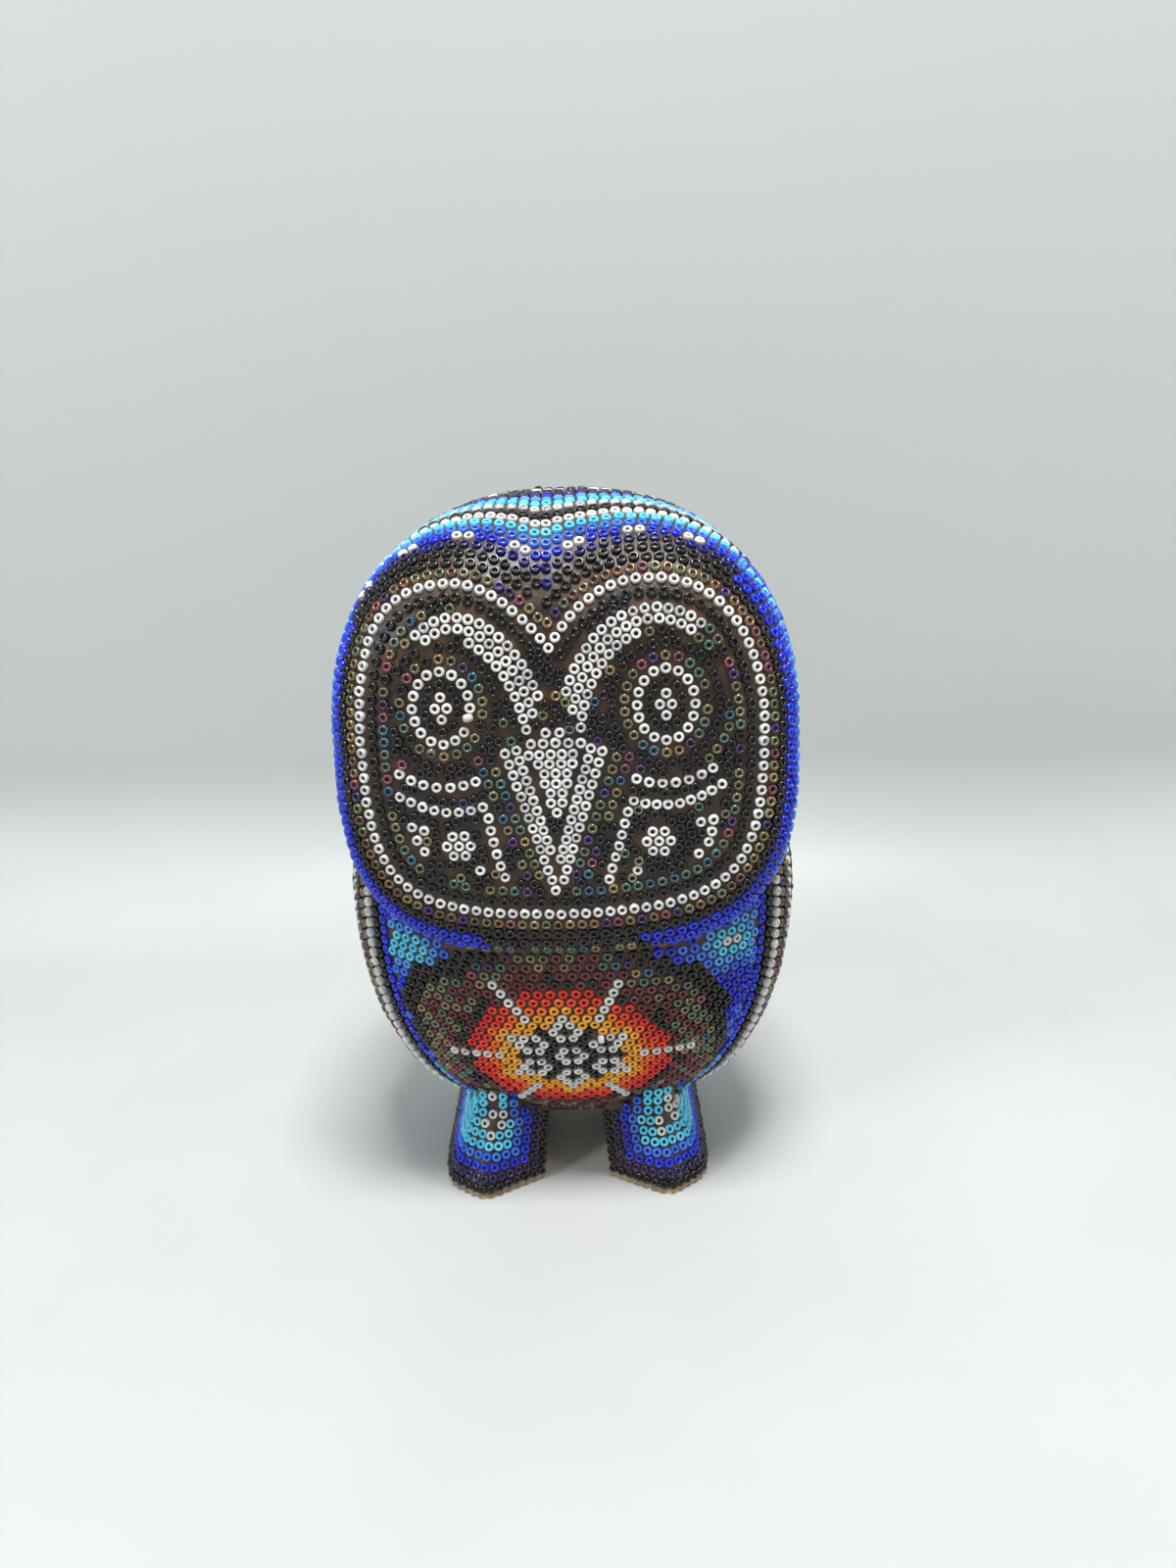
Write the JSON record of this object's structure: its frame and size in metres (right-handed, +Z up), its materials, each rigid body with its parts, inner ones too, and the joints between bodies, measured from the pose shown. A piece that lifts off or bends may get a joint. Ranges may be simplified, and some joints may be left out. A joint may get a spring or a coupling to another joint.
{
  "type": "beaded owl figure",
  "caption": "Small standing owl figure: carved wood body on two short legs, skinned in wax and a mosaic of glass seed beads with a heart-shaped face mask and a flower on the chest.",
  "frame": {"origin": "on the floor, midway between the two soles", "axes": "+Z up, the face looks along -Y, left and right are as seen from the front: left is at -X"},
  "size_m": [0.0984, 0.08, 0.1505],
  "materials": {
    "bare_wood": "matt, sawn and carved",
    "wax": "dark brown wax, satin",
    "bead_black": "opaque glossy glass",
    "bead_white": "opaque glossy glass",
    "bead_bronze": "bronze lustre glass",
    "bead_lustre": "dark iridescent glass",
    "bead_navy": "opaque glossy glass",
    "bead_blue": "opaque glossy glass",
    "bead_turquoise": "opaque glossy glass",
    "bead_red": "opaque glossy glass",
    "bead_amber": "opaque glossy glass",
    "bead_maroon": "opaque glossy glass"
  },
  "bodies": {
    "root": {"body_core": "bare_wood", "leg_left": "bare_wood", "leg_right": "bare_wood", "wax_face": "wax", "wax_crown": "wax", "wax_chest": "wax", "wax_back": "wax", "face_field": "bead_lustre", "face_rim_black": "bead_black", "face_rim_bronze": "bead_bronze", "face_loop_white": "bead_white", "brow_left": "bead_white", "brow_right": "bead_white", "eye_ring_left": "bead_white", "eye_ring_right": "bead_white", "eye_centre_left": "bead_white", "eye_centre_right": "bead_white", "eye_arc_left": "bead_white", "eye_arc_right": "bead_white", "cheek_line_left": "bead_white", "cheek_line_right": "bead_white", "cheek_flower_left": "bead_white", "cheek_flower_right": "bead_white", "cheek_hook_left": "bead_white", "cheek_hook_right": "bead_white", "beak_outline": "bead_white", "beak_wedge": "bead_white", "chin_underside": "bead_black", "crown_navy": "bead_navy", "crown_blue": "bead_blue", "crown_turquoise": "bead_turquoise", "crown_stripe": "bead_white", "crown_rear_blue": "bead_blue", "nape_bronze": "bead_bronze", "nape_rosette": "bead_red", "chest_field": "bead_maroon", "chest_petals": "bead_lustre", "chest_red": "bead_red", "chest_amber": "bead_amber", "chest_star": "bead_white", "chest_rays": "bead_white", "chest_corner_left": "bead_turquoise", "chest_corner_right": "bead_turquoise", "back_field": "bead_blue", "back_rosette": "bead_red", "wing_left": "bead_black", "wing_right": "bead_black", "wing_stripe_left": "bead_white", "wing_stripe_right": "bead_white", "foot_beads_left": "bead_navy", "foot_beads_right": "bead_navy", "foot_motif_left": "bead_turquoise", "foot_motif_right": "bead_turquoise"}
  },
  "joints": []
}
